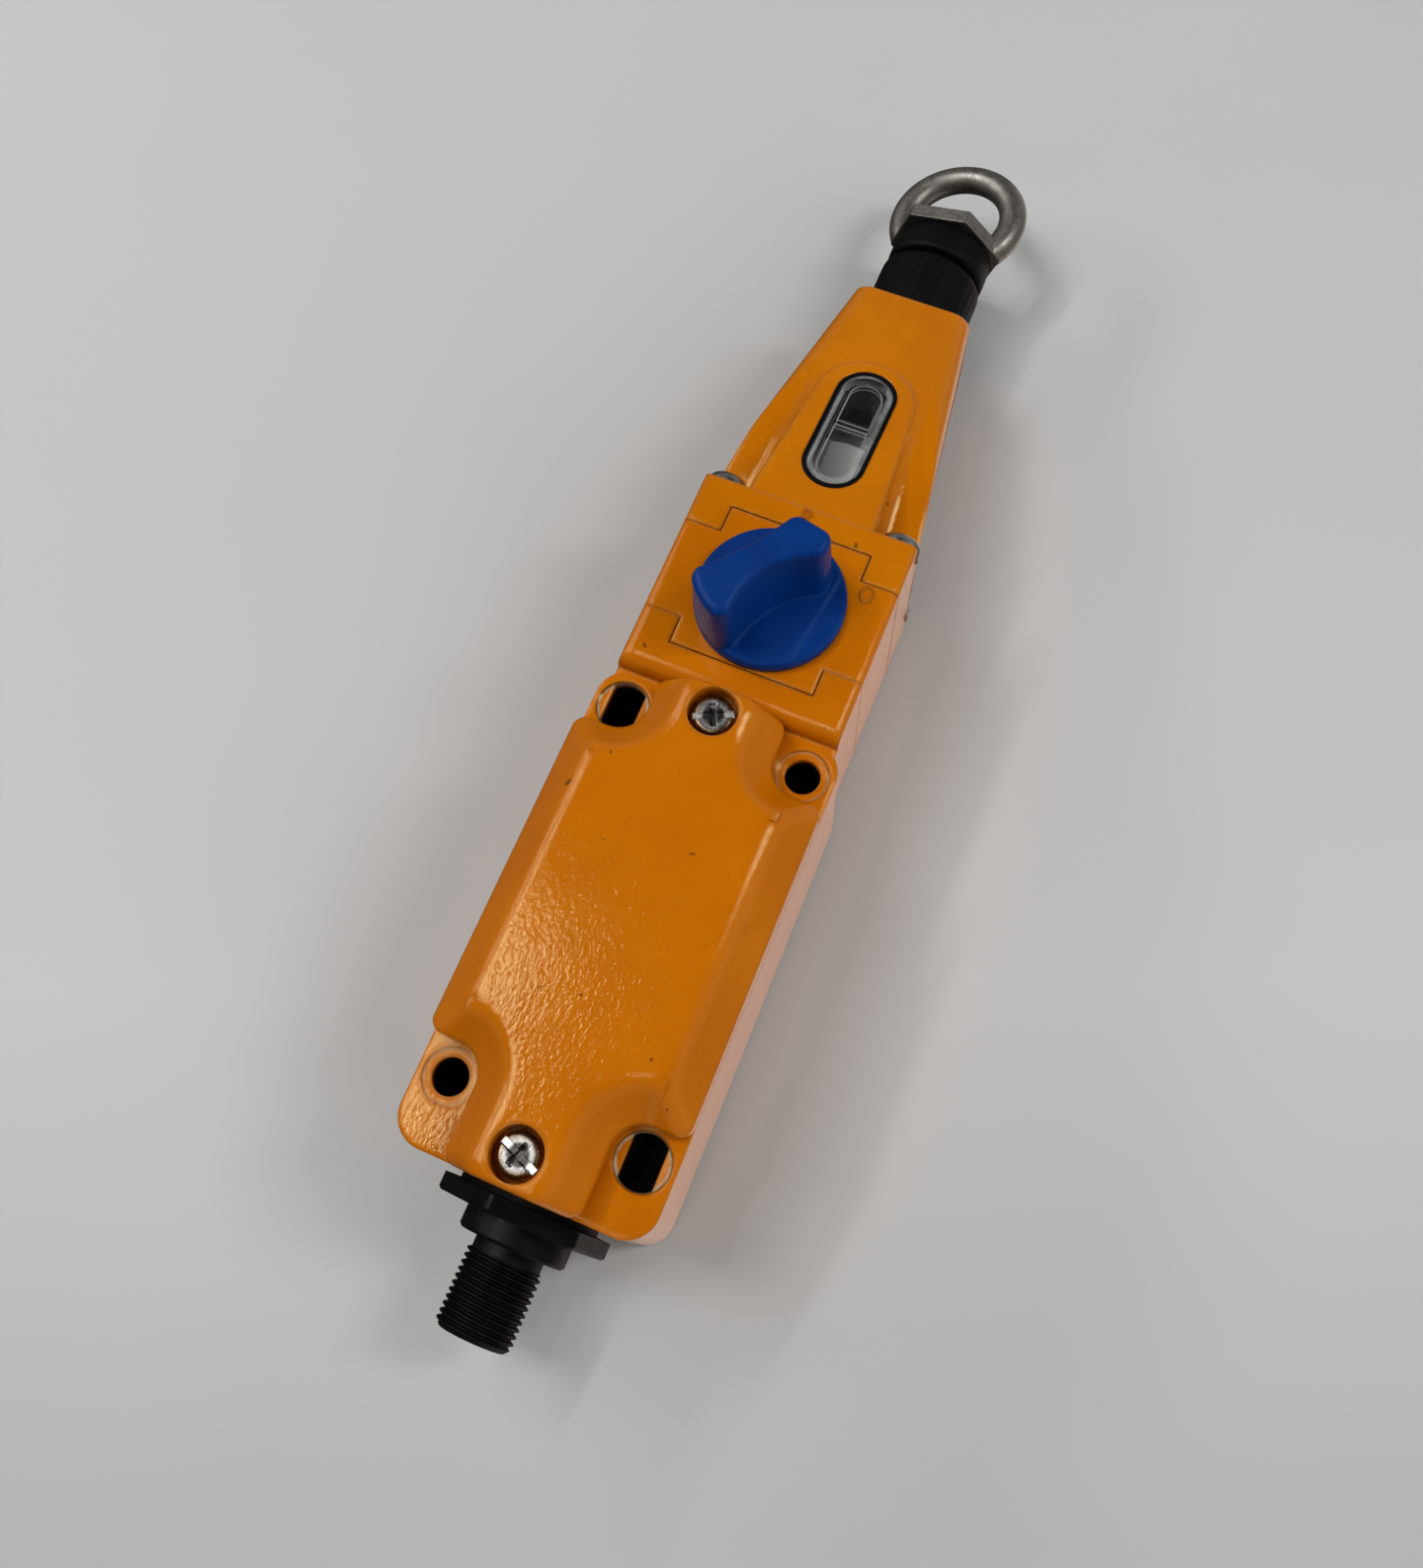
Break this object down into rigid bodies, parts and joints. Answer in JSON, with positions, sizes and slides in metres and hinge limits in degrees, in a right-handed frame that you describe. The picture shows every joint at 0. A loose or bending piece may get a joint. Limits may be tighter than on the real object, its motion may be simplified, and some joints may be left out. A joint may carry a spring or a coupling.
{
  "type": "rope pull switch",
  "caption": "Rope pull safety switch: boxed cast body with bevelled lid, tapered nose with window, turning reset knob, sliding pull shaft with eye, boot and threaded plug.",
  "frame": {"origin": "centre of the 30 by 60 mm fixing pattern on the flat back face", "axes": "+Y along the pull shaft towards the eye, +Z out of the back face towards the lid, +X across the width"},
  "size_m": [0.04, 0.2229, 0.0494],
  "materials": {
    "yellow_paint": "gloss",
    "blue_plastic": "satin",
    "clear_lens": "clear",
    "black_rubber": "matte",
    "black_plastic": "matte",
    "white_plastic": "matte",
    "brass": "satin",
    "zinc_steel": "satin",
    "spring_steel": "satin",
    "stainless": "satin"
  },
  "bodies": {
    "housing": {"switch_body": "yellow_paint", "lid_gasket": "black_rubber", "body_lid": "yellow_paint", "lid_screws": "zinc_steel", "reset_block": "yellow_paint", "block_seals": "black_rubber", "knob_seal": "black_rubber", "nose_housing": "yellow_paint", "window_gasket": "black_rubber", "window_lens": "clear_lens", "head_screws": "zinc_steel", "body_bush": "brass", "nose_bush": "brass", "main_spring": "spring_steel", "shaft_boot": "black_rubber", "spindle_bush": "brass", "knob_spring": "spring_steel", "contact_block": "black_plastic", "fixed_contacts": "brass", "terminal_screws": "zinc_steel", "block_screws": "zinc_steel", "earth_screw": "zinc_steel", "connector_seal": "black_rubber", "connector_body": "black_plastic", "connector_insert": "black_plastic", "connector_pins": "brass"},
    "pull": {"pull_shaft": "stainless", "eye_nut": "stainless", "eye_pin": "spring_steel", "spring_collar": "stainless", "indicator_sleeve": "black_plastic", "indicator_flag": "white_plastic", "contact_carrier": "black_plastic", "bridge_contacts": "brass", "carrier_clip": "spring_steel"},
    "knob": {"reset_knob": "blue_plastic", "reset_spindle": "stainless", "spindle_clip": "spring_steel", "crank_pin": "stainless"}
  },
  "joints": [
    {"name": "pull_slide", "type": "slide", "parent": "housing", "child": "pull", "axis": [0, 1, 0], "range_m": [0, 0.008], "stiffness_N_per_m": 2500, "deforming": ["main_spring", "shaft_boot"]},
    {"name": "knob_turn", "type": "hinge", "parent": "housing", "child": "knob", "pos_m": [0, 0.054, 0.0353], "axis": [0, 0, 1], "range_deg": [-60, 30]}
  ]
}
